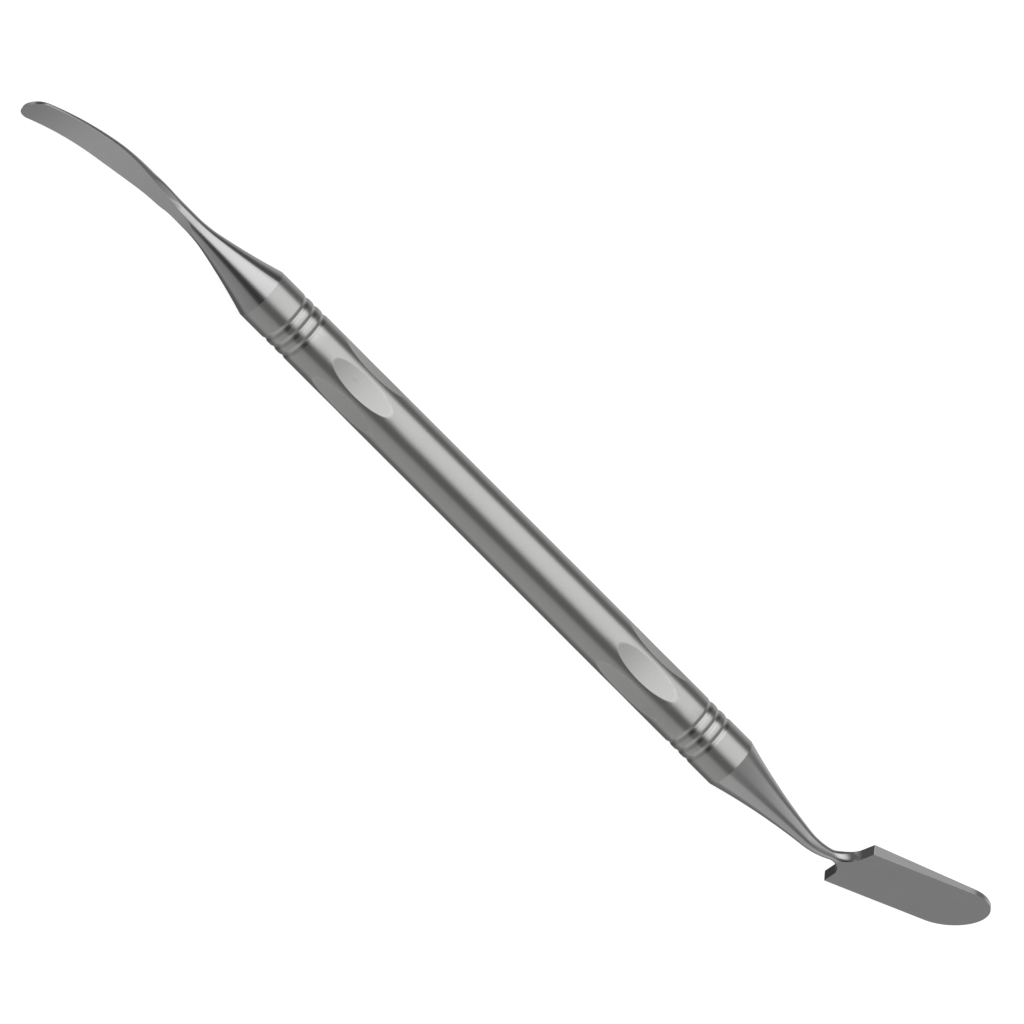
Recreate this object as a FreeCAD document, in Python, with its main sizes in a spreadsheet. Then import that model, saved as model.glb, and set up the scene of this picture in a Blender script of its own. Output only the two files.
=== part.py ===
import FreeCAD, Part
import math
import os

import Sketcher
from FreeCAD import Rotation, Vector

# A double-ended periosteal elevator: a hollow gripped handle, with a slim curved blade
# pressed into one end and a broad cranked blade pressed into the other.
# The pieces are drawn along the X axis with the middle of the handle at the origin, the
# slim blade towards -X and the broad blade towards +X. Both blades are symmetric about
# the XY plane. One shared placement then lays the instrument down as it comes to rest.
# Lengths are in millimetres and angles in degrees.

numbers = {
    # Handle tube
    "HandleLength": 92.4,
    "HandleDiameter": 8.0,
    "BoreDiameter": 5.5,
    "BoreLead": 0.3,
    # Ring grooves near each end of the handle
    "RingCount": 3,
    "RingFirst": 4.8,
    "RingPitch": 1.65,
    "RingWidth": 0.93,
    "RingDepth": 0.17,
    # Finger scallops round each half of the handle
    "ScallopCount": 6,
    "ScallopPlace": 28.0,
    "ScallopDepth": 0.35,
    "ScallopRadius": 44.0,
    # Spigots that hold the working ends in the bore
    "SpigotLength": 12.0,
    "SpigotClearance": 0.02,
    "SpigotLead": 0.4,
    # Slim end: cone, from the handle's shoulder, and neck
    "SlimConeLength": 13.8,
    "SlimConeRadius": 109.5,
    "SlimFlareRadius": 21.0,
    "SlimNeckRadius": 1.245,
    # Slim end: blade. Its runs are measured from the end of the cone: where it starts to
    # swell, where the scoop reaches its full depth, where each face starts to curve, the tip
    "SlimSwellRun": 2.5,
    "SlimSinkLength": 6.5,
    "SlimSwellLength": 13.0,
    "SlimSideLead": 0.085,
    "SlimHalfWidth": 2.52,
    "SlimEdgeThickness": 0.45,
    "SlimScoopRun": 2.0,
    "SlimScoopRadius": 9.0,
    "SlimFaceRun": 7.0,
    "SlimFaceRadius": 46.0,
    "SlimFaceDepth": 0.8,
    "SlimBackRun": 4.7,
    "SlimBladeRun": 28.7,
    "SlimTipThickness": 0.78,
    "SlimNoseRadius": 2.64,
    # Broad end: cone, from the handle's shoulder to the corner of the bend, and bent neck
    "BroadConeRadius": 102.0,
    "BroadNeckRoot": 1.148,
    "BroadNeckRadius": 0.71,
    "BendRun": 17.1,
    "BendRadius": 10.0,
    "BendAngle": 26.4,
    # Broad end: flat blade
    "BroadFaceOffset": 0.88,
    "BroadShoulder": 5.51,
    "BroadShoulderLean": 10.0,
    "BroadBlendRadius": 2.4,
    "BroadHalfWidth": 5.63,
    "BroadLength": 22.6,
    "BroadRootThickness": 1.47,
    "BroadTipThickness": 0.55,
    # How the instrument lies: on the slim blade's edge, the handle and a broad shoulder
    "RestRoll": 12.227,
    "RestPitch": -0.573,
    # How far a cutting outline reaches past the metal that it cuts
    "Overrun": 1.0,
}

# Sections along a loft
SINK_STEPS = 3
SWELL_STEPS = 2
BLADE_STEPS = 3
BEND_STEPS = 4

MEASURING_STEP = 0.01
SMALLEST_CUT = 0.01

# Where the slim cone's flare is first drawn, as a share of the way from its thin end. The
# smooth joints at its two ends then settle it.
FLARE_GUESS = 0.3

document = FreeCAD.newDocument("PeriostealElevator")
sheet = document.addObject("Spreadsheet::Sheet", "Sizes")
for row, (alias, number) in enumerate(numbers.items(), start=1):
    sheet.set(f"A{row}", alias)
    sheet.set(f"B{row}", str(number))
    sheet.setAlias(f"B{row}", alias)
document.recompute()


class Size:
    """A formula over the sheet's sizes, kept with the number that it gives."""

    def __init__(self, formula, number):
        self.formula = formula
        self.number = number

    def joined(self, sign, other, number):
        return Size(f"({self.formula} {sign} {other.formula})", number)

    def __add__(self, other):
        other = as_size(other)
        return self.joined("+", other, self.number + other.number)

    def __sub__(self, other):
        other = as_size(other)
        return self.joined("-", other, self.number - other.number)

    def __mul__(self, other):
        other = as_size(other)
        return self.joined("*", other, self.number * other.number)

    def __truediv__(self, other):
        other = as_size(other)
        return self.joined("/", other, self.number / other.number)

    def __neg__(self):
        return as_size(0) - self


def as_size(value):
    """Let a plain number stand in a formula."""
    return value if isinstance(value, Size) else Size(str(value), value)


def size(alias):
    """A driving size of the sheet."""
    return Size(f"Sizes.{alias}", numbers[alias])


def root(value):
    return Size(f"sqrt({value.formula})", math.sqrt(value.number))


def sine(angle):
    return Size(f"sin({angle.formula})", math.sin(math.radians(angle.number)))


def cosine(angle):
    return Size(f"cos({angle.formula})", math.cos(math.radians(angle.number)))


def larger(first, second):
    """The larger of two sizes."""
    return Size(f"max({first.formula}; {second.formula})", max(first.number, second.number))


def arc_drop(reach, radius):
    """How far an arc of this radius has dropped, this reach from its top."""
    return radius - root(radius * radius - reach * reach)


def bind(thing, settings):
    """Tie each named property of a feature to its formula."""
    for name, value in settings.items():
        thing.setExpression(name, as_size(value).formula)


def constrain(sketch, kind, places, value):
    """Add one dimension to a sketch and tie it to its formula."""
    index = sketch.addConstraint(Sketcher.Constraint(kind, *places, value.number))
    sketch.setExpression(f"Constraints[{index}]", value.formula)


def pin(sketch, edge, end, corner):
    """Fix one end of an edge by its two distances from the sketch's origin."""
    for kind, value in zip(("DistanceX", "DistanceY"), corner):
        constrain(sketch, kind, (-1, 1, edge, end), as_size(value))


def vector(corner):
    """A corner as a point, from its formulas or as it is."""
    if isinstance(corner, Vector):
        return corner
    x, y = corner
    return Vector(as_size(x).number, as_size(y).number, 0)


def arc_between(start, end, radius):
    """The shorter anticlockwise arc of this radius from start to end."""
    chord = end - start
    rise = math.sqrt(radius**2 - chord.Length**2 / 4)
    centre = (start + end) / 2 + Vector(-chord.y, chord.x, 0).normalize() * rise
    angles = [math.atan2(point.y - centre.y, point.x - centre.x) for point in (start, end)]
    return Part.ArcOfCircle(Part.Circle(centre, Vector(0, 0, 1), radius), *angles)


def draw_outline(sketch, corners, arcs=None, smooth=()):
    """Close an outline through the corners, each pinned to its two formulas.

    An edge is straight unless arcs gives a radius for it: positive turns anticlockwise
    from the edge's first corner to its second, and negative turns clockwise. At the
    corners in smooth the two edges run into one another, and one that is given as a
    plain Vector is only near its place, which the smooth joint then finds.
    """
    arcs = arcs or {}
    ends = []
    for index, corner in enumerate(corners):
        start, end = vector(corner), vector(corners[(index + 1) % len(corners)])
        radius = arcs.get(index)
        if radius is None:
            edge = sketch.addGeometry(Part.LineSegment(start, end))
            ends.append((edge, 1, 2))
        elif radius.number > 0:
            edge = sketch.addGeometry(arc_between(start, end, radius.number))
            ends.append((edge, 1, 2))
        else:
            edge = sketch.addGeometry(arc_between(end, start, -radius.number))
            ends.append((edge, 2, 1))
            radius = -radius
        if radius is not None:
            constrain(sketch, "Radius", (edge,), radius)
    for index, corner in enumerate(corners):
        edge, first, _ = ends[index]
        before, _, last = ends[index - 1]
        joint = "Tangent" if index in smooth else "Coincident"
        sketch.addConstraint(Sketcher.Constraint(joint, before, last, edge, first))
        if not isinstance(corner, Vector):
            pin(sketch, edge, first, corner)


def draw_circle(sketch, centre, radius):
    """A full circle with its centre pinned."""
    circle = Part.Circle(vector(centre), Vector(0, 0, 1), radius.number)
    edge = sketch.addGeometry(circle)
    constrain(sketch, "Radius", (edge,), radius)
    pin(sketch, edge, 3, centre)


def origin_part(body, role):
    """One of a body's own origin planes or axes."""
    return next(part for part in body.Origin.OriginFeatures if part.Role == role)


def body_sketch(body, name):
    """A sketch on the body's XY plane."""
    sketch = body.newObject("Sketcher::SketchObject", name)
    sketch.AttachmentSupport = [(origin_part(body, "XY_Plane"), "")]
    sketch.MapMode = "FlatFace"
    return sketch


def free_sketch(name, place=None):
    """A sketch on the XY plane, or on the placement whose formula is given."""
    sketch = document.addObject("Sketcher::SketchObject", name)
    if place:
        sketch.setExpression("Placement", place)
    return sketch


def placement_formula(x, y, z, yaw, pitch, roll):
    """A placement from its three distances and its turns about Z, Y and X."""
    x, y, z, yaw, pitch, roll = (as_size(value).formula for value in (x, y, z, yaw, pitch, roll))
    return f"placement(vector({x}; {y}; {z}); rotation({yaw}; {pitch}; {roll}))"


def make(kind, name, **links):
    """Add a feature and set its links to other features."""
    thing = document.addObject(kind, name)
    for link, value in links.items():
        setattr(thing, link, value)
    return thing


def check_cut(cut):
    """Stop if a cut takes nothing away from the solid it is made in."""
    document.recompute()
    before = cut.BaseFeature if hasattr(cut, "BaseFeature") else cut.Base
    if cut.Shape.Volume > before.Shape.Volume - SMALLEST_CUT:
        raise RuntimeError(f"{cut.Name} cuts nothing")


# Sizes that more than one piece uses
handle_radius = size("HandleDiameter") / 2
bore_radius = size("BoreDiameter") / 2
shoulder = size("HandleLength") / 2
overrun = size("Overrun")


# Handle tube

tube = document.addObject("PartDesign::Body", "HandleTube")
tube.Label = "handle_tube"

wall = body_sketch(tube, "TubeWall")
lead = size("BoreLead")
draw_outline(
    wall,
    [
        (-shoulder, bore_radius + lead),
        (-shoulder + lead, bore_radius),
        (shoulder - lead, bore_radius),
        (shoulder, bore_radius + lead),
        (shoulder, handle_radius),
        (-shoulder, handle_radius),
    ],
)
turned = tube.newObject("PartDesign::Revolution", "TurnedTube")
turned.Profile = wall
turned.ReferenceAxis = (origin_part(tube, "X_Axis"), [""])
turned.Angle = 360
document.recompute()


def repeat_on_both_halves(name, cut, pattern_kind, settings):
    """Pattern a cut along or around the handle, then mirror it to the other half."""
    repeats = tube.newObject("PartDesign::MultiTransform", name)
    repeats.Originals = [cut]
    pattern = tube.newObject(pattern_kind, name + "Pattern")
    mirror = tube.newObject("PartDesign::Mirrored", name + "Mirror")
    mirror.MirrorPlane = (origin_part(tube, "YZ_Plane"), [""])
    bind(pattern, settings)
    repeats.Transformations = [pattern, mirror]
    return repeats, pattern


# Ring grooves: a shallow V, three times along the handle, at both ends. Its two sides are
# drawn on past the handle's surface, to twice the depth.
ring_width, ring_depth = size("RingWidth"), size("RingDepth")
ring_place = shoulder - size("RingFirst")
ring_section = body_sketch(tube, "RingSection")
draw_outline(
    ring_section,
    [
        (ring_place, handle_radius - ring_depth),
        (ring_place + ring_width, handle_radius + ring_depth),
        (ring_place - ring_width, handle_radius + ring_depth),
    ],
)
ring = tube.newObject("PartDesign::Groove", "RingGroove")
ring.Profile = ring_section
ring.ReferenceAxis = (origin_part(tube, "X_Axis"), [""])
ring.Angle = 360
check_cut(ring)
rings, ring_row = repeat_on_both_halves(
    "RingGrooves",
    ring,
    "PartDesign::LinearPattern",
    {"Length": size("RingPitch") * (size("RingCount") - 1), "Occurrences": size("RingCount")},
)
ring_row.Direction = (origin_part(tube, "X_Axis"), [""])
ring_row.Reversed = True
tube.Tip = rings
check_cut(rings)

# Scallops: a long shallow hollow, flat across the handle, six times around each half
scallop_section = body_sketch(tube, "ScallopSection")
draw_circle(
    scallop_section,
    (size("ScallopPlace"), handle_radius + size("ScallopRadius") - size("ScallopDepth")),
    size("ScallopRadius"),
)
scallop = tube.newObject("PartDesign::Pocket", "Scallop")
scallop.Profile = scallop_section
scallop.Midplane = True
bind(scallop, {"Length": size("HandleDiameter")})
check_cut(scallop)
scallops, scallop_ring = repeat_on_both_halves(
    "Scallops", scallop, "PartDesign::PolarPattern", {"Occurrences": size("ScallopCount")}
)
scallop_ring.Axis = (origin_part(tube, "X_Axis"), [""])
scallop_ring.Angle = 360
tube.Tip = scallops
check_cut(scallops)


# Working ends: what both share

spigot_radius = bore_radius - size("SpigotClearance") / 2
spigot_end = shoulder - size("SpigotLength")
spigot_lead = size("SpigotLead")


def spigot_corners(side):
    """The spigot and shoulder, from the axis out to the handle's rim, on side -1 or +1."""
    return [
        (spigot_end * side, as_size(0)),
        (spigot_end * side, spigot_radius - spigot_lead),
        ((spigot_end + spigot_lead) * side, spigot_radius),
        (shoulder * side, spigot_radius),
        (shoulder * side, handle_radius),
    ]


def turn(name, sketch):
    """Turn a sketch a full circle about the X axis."""
    turned = make("Part::Revolution", name, Source=sketch, Axis=Vector(1, 0, 0), Solid=True)
    turned.Angle = 360
    return turned


def oval(name, turned_by, along, across, half_width, half_height):
    """An oval section, its width along Z, at one station of a neck or blade.

    turned_by turns its plane about Z; along and across place its centre in the XY plane.
    """
    section = document.addObject("Part::Ellipse", name)
    bind(section, {"MajorRadius": half_width, "MinorRadius": half_height})
    upright = placement_formula(along, across, 0, turned_by, -90, 0)
    section.setExpression("Placement", upright)
    return section


def thicken(name, sketch, front, back):
    """A solid from a sketch, with its reach in front of and behind the sketch plane."""
    slab = make("Part::Extrusion", name, Base=sketch, DirMode="Normal", Solid=True)
    bind(slab, {"LengthFwd": front, "LengthRev": back})
    return slab


# Slim blade end: the turned spigot, cone and neck

slim_neck = size("SlimNeckRadius")
neck_place = shoulder + size("SlimConeLength")
swell_place = neck_place + size("SlimSwellRun")
flare_start = Vector(
    -(neck_place + (shoulder - neck_place) * FLARE_GUESS).number,
    (slim_neck + (handle_radius - slim_neck) * FLARE_GUESS**2).number,
)
slim_section = free_sketch("SlimTurnedSection")
draw_outline(
    slim_section,
    spigot_corners(-1)
    + [
        flare_start,
        (-neck_place, slim_neck),
        (-swell_place, slim_neck),
        (-swell_place, 0),
    ],
    arcs={4: -size("SlimConeRadius"), 5: -size("SlimFlareRadius")},
    smooth=(5, 6),
)
slim_turned = turn("SlimTurned", slim_section)


# Slim blade end: the blade starts as a bar that swells out of the round neck and thins
# towards its tip. Its middle sinks from the axis to the front face, so the bar is half
# round there. Two straight walls, one long scoop in front and a round nose cut it out.

face_depth = size("SlimFaceDepth")
face_place = neck_place + size("SlimFaceRun")
back_place = neck_place + size("SlimBackRun")
slim_tip = neck_place + size("SlimBladeRun")
past_tip = slim_tip + overrun


def slim_face(reach):
    """Height of the scooped front face at this distance from the middle."""
    if reach.number <= face_place.number:
        return -face_depth
    return -face_depth - arc_drop(reach - face_place, size("SlimFaceRadius"))


# The back's arc leaves the neck level and ends above the face by the tip's thickness
back_run = slim_tip - back_place
back_fall = slim_neck - slim_face(slim_tip) - size("SlimTipThickness")
back_radius = (back_run * back_run + back_fall * back_fall) / (back_fall * 2)


def slim_back(reach):
    """Height of the rounded back at this distance from the middle."""
    if reach.number <= back_place.number:
        return slim_neck
    return slim_neck - arc_drop(reach - back_place, back_radius)


def eased(share):
    """A share of a change that starts and ends level."""
    return as_size(3 * share**2 - 2 * share**3)


def slim_oval(reach, half_width, half_height):
    """The bar's section, with its crown on the back."""
    name = f"SlimOval{len(slim_ovals)}"
    middle = slim_back(reach) - half_height
    slim_ovals.append(oval(name, 180, -reach, middle, half_width, half_height))


def slim_walled(reach, swell):
    """The bar's section where it is half round, and wide enough to leave walls on it."""
    half_height = slim_back(reach) - slim_face(reach)
    wall = face_depth + (size("SlimEdgeThickness") - face_depth) * swell
    plan = side_root + (side_half - side_root) * swell
    share = wall / half_height
    half_width = plan / root(as_size(1) - share * share)
    slim_oval(reach, larger(half_width, half_height), half_height)


# Round sections while the middle sinks, and then half round ones
side_half = size("SlimHalfWidth")
side_root = slim_neck + size("SlimSideLead")
sink_length, swell_length = size("SlimSinkLength"), size("SlimSwellLength")
swell_end = swell_place + swell_length
slim_ovals = []
for step in range(SINK_STEPS):
    share = step / SINK_STEPS
    reach = swell_place + sink_length * share
    radius = slim_back(reach) - slim_face(reach) * eased(share)
    slim_oval(reach, radius, radius)
for step in range(SWELL_STEPS + 1):
    gone = sink_length / swell_length
    share = gone + (as_size(1) - gone) * (step / SWELL_STEPS)
    slim_walled(swell_place + swell_length * share, share * share * (as_size(3) - share * 2))
for step in range(1, BLADE_STEPS + 1):
    slim_walled(swell_end + (past_tip - swell_end) * (step / BLADE_STEPS), as_size(1))
slim_bar = make("Part::Loft", "SlimBar", Sections=slim_ovals, Solid=True)

# The walls run out from the neck in two arcs, each the other's mirror image
bar_floor = slim_back(past_tip) - slim_face(past_tip) * 2 + overrun
side_rise = side_half - side_root
side_radius = (swell_length * swell_length + side_rise * side_rise) / (side_rise * 4)
side_middle = swell_place + swell_length / 2
side_turn = (side_root + side_half) / 2
side_start = swell_place - overrun
side_plan = free_sketch("SlimSidePlan", placement_formula(0, 0, 0, 0, 0, 90))
draw_outline(
    side_plan,
    [
        (-side_start, -side_root),
        (-side_start, side_root),
        (-swell_place, side_root),
        (-side_middle, side_turn),
        (-swell_end, side_half),
        (-past_tip, side_half),
        (-past_tip, -side_half),
        (-swell_end, -side_half),
        (-side_middle, -side_turn),
        (-swell_place, -side_root),
    ],
    arcs={2: -side_radius, 3: side_radius, 7: side_radius, 8: -side_radius},
)
side_stamp = thicken("SlimSideStamp", side_plan, bar_floor, bar_floor)
slim_walls = make("Part::Common", "SlimWalled", Base=slim_bar, Tool=side_stamp)
check_cut(slim_walls)

nose_radius = size("SlimNoseRadius")
nose_middle = slim_tip - nose_radius
nose_plan = free_sketch("SlimNosePlan", placement_formula(0, 0, 0, 0, 0, 90))
draw_outline(
    nose_plan,
    [
        (-neck_place, -nose_radius),
        (-neck_place, nose_radius),
        (-nose_middle, nose_radius),
        (-slim_tip, 0),
        (-nose_middle, -nose_radius),
    ],
    arcs={2: nose_radius, 3: nose_radius},
)
nose_stamp = thicken("SlimNoseStamp", nose_plan, bar_floor, bar_floor)
slim_nosed = make("Part::Common", "SlimNosed", Base=slim_walls, Tool=nose_stamp)

scoop_radius = size("SlimScoopRadius")
scoop_place = neck_place + size("SlimScoopRun")
scoop_rise = slim_neck - face_depth + overrun
scoop_start = scoop_place - root(scoop_rise * (scoop_radius * 2 - scoop_rise))
scoop_section = free_sketch("SlimScoopSection")
draw_outline(
    scoop_section,
    [
        (-past_tip, -bar_floor),
        (-scoop_start, -bar_floor),
        (-scoop_start, -face_depth - scoop_rise),
        (-scoop_place, -face_depth),
        (-face_place, -face_depth),
        (-past_tip, slim_face(past_tip)),
    ],
    arcs={2: scoop_radius, 4: size("SlimFaceRadius")},
)
scoop_reach = size("SlimHalfWidth") + overrun
scoop = thicken("SlimScoop", scoop_section, scoop_reach, scoop_reach)
slim_blank = make("Part::Fuse", "SlimBlank", Base=slim_turned, Tool=slim_nosed)
slim_end = make("Part::Cut", "SlimBladeEnd", Base=slim_blank, Tool=scoop)
slim_end.Label = "slim_blade_end"
slim_end.Refine = True
check_cut(slim_end)


# Broad blade end: the turned spigot and cone

bend = size("BendAngle")
bend_radius = size("BendRadius")
bend_place = shoulder + size("BendRun")
bend_tangent = bend_radius * sine(bend) / (cosine(bend) + 1)
neck_root = size("BroadNeckRoot")
root_place = bend_place - bend_tangent
broad_section = free_sketch("BroadTurnedSection")
draw_outline(
    broad_section,
    spigot_corners(1) + [(root_place, neck_root), (root_place, 0)],
    arcs={4: size("BroadConeRadius")},
)
broad_turned = turn("BroadTurned", broad_section)


# Broad blade end: the neck thins round its bend, then flattens and spreads into the blade

broad_neck = size("BroadNeckRadius")
face_offset = size("BroadFaceOffset")


def beyond_bend(along, behind):
    """A point this far past the corner of the bend, and this far behind the middle line."""
    return (
        bend_place + along * cosine(bend) - behind * sine(bend),
        along * sine(bend) + behind * cosine(bend),
    )


neck_ovals = []
for step in range(BEND_STEPS + 1):
    share = step / BEND_STEPS
    turned_by = bend * share
    radius = neck_root + (broad_neck - neck_root) * share
    along = root_place + bend_radius * sine(turned_by)
    across = bend_radius - bend_radius * cosine(turned_by)
    neck_ovals.append(oval(f"BroadOval{step}", turned_by, along, across, radius, radius))
broad_bar = make("Part::Loft", "BroadNeck", Sections=neck_ovals, Solid=True)


# Broad blade end: past the bend a round head flares out of the neck to a shoulder, and
# two flats and a rounded plan leave a blade of it, with square walls

half_width = size("BroadHalfWidth")
blade_length = size("BroadLength")
blend = size("BroadBlendRadius")
lean = size("BroadShoulderLean")
head_radius = half_width + overrun
head_start = bend_tangent - size("BroadShoulder")
head_end = blade_length + overrun
lean_run = sine(lean) / cosine(lean)
flare_corner = -(half_width - broad_neck) * lean_run
flare_reach = blend * cosine(lean) / (sine(lean) + 1)
middle_x, middle_y = beyond_bend(size("BroadShoulder"), as_size(0))
face_x, face_y = beyond_bend(size("BroadShoulder"), -face_offset)
head_section = free_sketch("BroadHeadSection", placement_formula(middle_x, middle_y, 0, bend, 0, 0))
draw_outline(
    head_section,
    [
        (head_start, 0),
        (head_end, 0),
        (head_end, head_radius),
        ((head_radius - half_width) * lean_run, head_radius),
        (flare_corner + flare_reach * sine(lean), broad_neck + flare_reach * cosine(lean)),
        (flare_corner - flare_reach, broad_neck),
        (head_start, broad_neck),
    ],
    arcs={4: -blend},
)
head = make("Part::Revolution", "BroadHead", Source=head_section, Solid=True)
head.Angle = 360
head.AxisLink = (head_section, ["Edge1"])

broad_plan = free_sketch("BroadPlan", placement_formula(face_x, face_y, 0, bend, 0, 90))
draw_outline(
    broad_plan,
    [
        (head_start, -half_width),
        (blade_length - half_width, -half_width),
        (blade_length, 0),
        (blade_length - half_width, half_width),
        (head_start, half_width),
    ],
    arcs={1: half_width, 2: half_width},
)
root_thickness = size("BroadRootThickness")
blade_slab = thicken("BroadSlab", broad_plan, as_size(0), root_thickness + overrun)


def blade_thickness(along):
    """Thickness of the blade this far past its shoulder."""
    return root_thickness + (size("BroadTipThickness") - root_thickness) * along / blade_length


back_start = head_start - overrun
back_top = root_thickness + overrun * 2
back_section = free_sketch("BroadBackSection", placement_formula(face_x, face_y, 0, bend, 0, 0))
draw_outline(
    back_section,
    [
        (back_start, blade_thickness(back_start)),
        (head_end, blade_thickness(head_end)),
        (head_end, back_top),
        (back_start, back_top),
    ],
)
back_cut = thicken("BroadBackCut", back_section, head_radius, head_radius)
blade_flat = make("Part::Cut", "BroadFlat", Base=blade_slab, Tool=back_cut)
check_cut(blade_flat)
blade = make("Part::Common", "BroadBlade", Base=head, Tool=blade_flat)
broad_shank = make("Part::Fuse", "BroadShank", Base=broad_turned, Tool=broad_bar)
broad_end = make("Part::Fuse", "BroadBladeEnd", Base=broad_shank, Tool=blade)
broad_end.Label = "broad_blade_end"
broad_end.Refine = True


# Rest: one placement turns all the pieces to how they lie, and puts the middle of the
# whole instrument's box above the origin, with its lowest point at height 0

pieces = (tube, slim_end, broad_end)
document.recompute()
rest_turn = Rotation(0, numbers["RestPitch"], numbers["RestRoll"])
points = [
    rest_turn.multVec(point)
    for piece in pieces
    for point in piece.Shape.tessellate(MEASURING_STEP)[0]
]
box = FreeCAD.BoundBox()
for point in points:
    box.add(point)
shift = Vector(-box.Center.x, -box.Center.y, -box.ZMin)
for piece in pieces:
    piece.Placement.Base = shift
    for turn_name, alias in (("Pitch", "RestPitch"), ("Roll", "RestRoll")):
        piece.setExpression(f"Placement.Rotation.{turn_name}", f"Sizes.{alias}")
document.recompute()

for thing in document.Objects:
    if {"Invalid", "Error"} & set(thing.State):
        raise RuntimeError(f"{thing.Name} failed: {thing.getStatusString()}")
for piece in pieces:
    if piece.Shape.isNull() or not piece.Shape.isValid():
        raise RuntimeError(f"{piece.Label} has no valid shape")

os.makedirs("parts", exist_ok=True)
for piece in pieces:
    shape = piece.Shape
    shape.exportStep(f"parts/{piece.Label}.step")
    print(piece.Label, len(shape.Solids), "solid,", round(shape.Volume, 1), "cubic mm")
print("Overall", round(box.XLength, 1), "x", round(box.YLength, 1), "x", round(box.ZLength, 1), "mm")
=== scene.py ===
# %% [markdown]
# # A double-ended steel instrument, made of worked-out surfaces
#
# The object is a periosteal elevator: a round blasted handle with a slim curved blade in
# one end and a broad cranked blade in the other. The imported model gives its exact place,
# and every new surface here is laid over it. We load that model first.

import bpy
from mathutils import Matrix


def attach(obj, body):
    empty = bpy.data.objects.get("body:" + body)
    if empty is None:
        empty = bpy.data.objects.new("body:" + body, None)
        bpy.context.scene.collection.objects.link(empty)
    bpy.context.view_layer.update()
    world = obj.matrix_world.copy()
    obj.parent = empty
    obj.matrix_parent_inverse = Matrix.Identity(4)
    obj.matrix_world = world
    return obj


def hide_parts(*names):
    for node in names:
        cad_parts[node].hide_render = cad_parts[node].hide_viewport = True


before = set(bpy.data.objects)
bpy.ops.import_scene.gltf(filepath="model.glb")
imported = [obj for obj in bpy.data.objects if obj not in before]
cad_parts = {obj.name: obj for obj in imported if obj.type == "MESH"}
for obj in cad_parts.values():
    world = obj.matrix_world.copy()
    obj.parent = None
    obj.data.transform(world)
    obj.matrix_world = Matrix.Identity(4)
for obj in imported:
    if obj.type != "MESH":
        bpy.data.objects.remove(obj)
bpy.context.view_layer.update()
print("Nodes to dress:", sorted(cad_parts))

import bpy
import numpy as np
from mathutils import Matrix

scene = bpy.context.scene
scene.view_settings.view_transform = "Standard"

# %% [markdown]
# ## From the handle to the table
#
# A turned part is easiest to describe along its own axis: x along the handle, y towards
# the backs of the blades and z across them, in millimetres. The instrument lies a little
# rolled and pitched on the table, so one turn and one shift carry every point from that
# drawing to its real place in metres. We could turn the objects instead, but then the
# patterns of the materials would have to be turned back again.

# %% Carry points from the drawing to the table
REST_ROLL = np.radians(12.227)
REST_PITCH = np.radians(-0.573)
HANDLE_MIDDLE = np.array([-0.0783, -3.0075, 4.4625])
MM = 0.001


def turn_about(axis, angle):
    """Rotation matrix about axis 0, 1 or 2: cosine and sine in the two other rows."""
    first, second = (axis + 1) % 3, (axis + 2) % 3
    matrix = np.eye(3)
    matrix[first, first] = matrix[second, second] = np.cos(angle)
    matrix[first, second], matrix[second, first] = -np.sin(angle), np.sin(angle)
    return matrix


REST_TURN = turn_about(1, REST_PITCH) @ turn_about(0, REST_ROLL)


def on_table(points):
    """Each point is turned by the rest matrix, moved by the handle's middle, and scaled."""
    return (points @ REST_TURN.T + HANDLE_MIDDLE) * MM


print("The handle's middle lies at", np.round(on_table(np.zeros(3)), 5), "metres")

# %% [markdown]
# ## The camera
#
# The picture shows the handle running diagonally, seen from its side and a little above,
# with no visible perspective. An orthographic camera would do that, but other views of
# this scene move the camera by its lens, so a very long lens far away is the better way.

# %% Place the camera
VIEW_RISE = np.radians(40.0)
VIEW_SWING = np.radians(15.0)
VIEW_ROLL = np.radians(45.0)
PICTURE_WIDTH = 137.7
AIM_ALONG, AIM_ACROSS = -0.042, -3.040
LENS, SENSOR = 1650.0, 36.0
NEAREST, FARTHEST = 0.1, 50.0

rise, swing = VIEW_RISE, VIEW_SWING
along = np.array([np.cos(swing), -np.sin(rise) * np.sin(swing), np.cos(rise) * np.sin(swing)])
across = np.array([0.0, -np.cos(rise), -np.sin(rise)])
looking = np.cross(along, across)
picture_right = along * np.cos(VIEW_ROLL) - across * np.sin(VIEW_ROLL)
picture_up = -along * np.sin(VIEW_ROLL) - across * np.cos(VIEW_ROLL)
distance = PICTURE_WIDTH * LENS / SENSOR

camera_turn = REST_TURN @ np.stack([picture_right, picture_up, -looking], axis=1)
camera_place = on_table(along * AIM_ALONG + across * AIM_ACROSS - looking * distance)
camera_data = bpy.data.cameras.new("camera")
camera_data.lens, camera_data.sensor_width = LENS, SENSOR
camera_data.clip_start, camera_data.clip_end = NEAREST, FARTHEST
camera = bpy.data.objects.new("camera", camera_data)
matrix = np.eye(4)
matrix[:3, :3], matrix[:3, 3] = camera_turn, camera_place
camera.matrix_world = Matrix(matrix)
scene.collection.objects.link(camera)
scene.camera = camera
print("Camera at", np.round(camera_place, 3), "looking along", np.round(REST_TURN @ looking, 3))

# %% [markdown]
# ## A skin over rings of points
#
# All three pieces are long bodies, so each can be described as a row of closed rings, one
# per station. A grid of points shaped (stations, points of a ring, 3) then holds the
# whole piece, and the faces between neighbours follow from the grid's own numbering.
# Modelling by hand with edge loops would also work, but the formulas keep the sizes exact.

# %% Turn a grid of rings into a mesh


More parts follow.
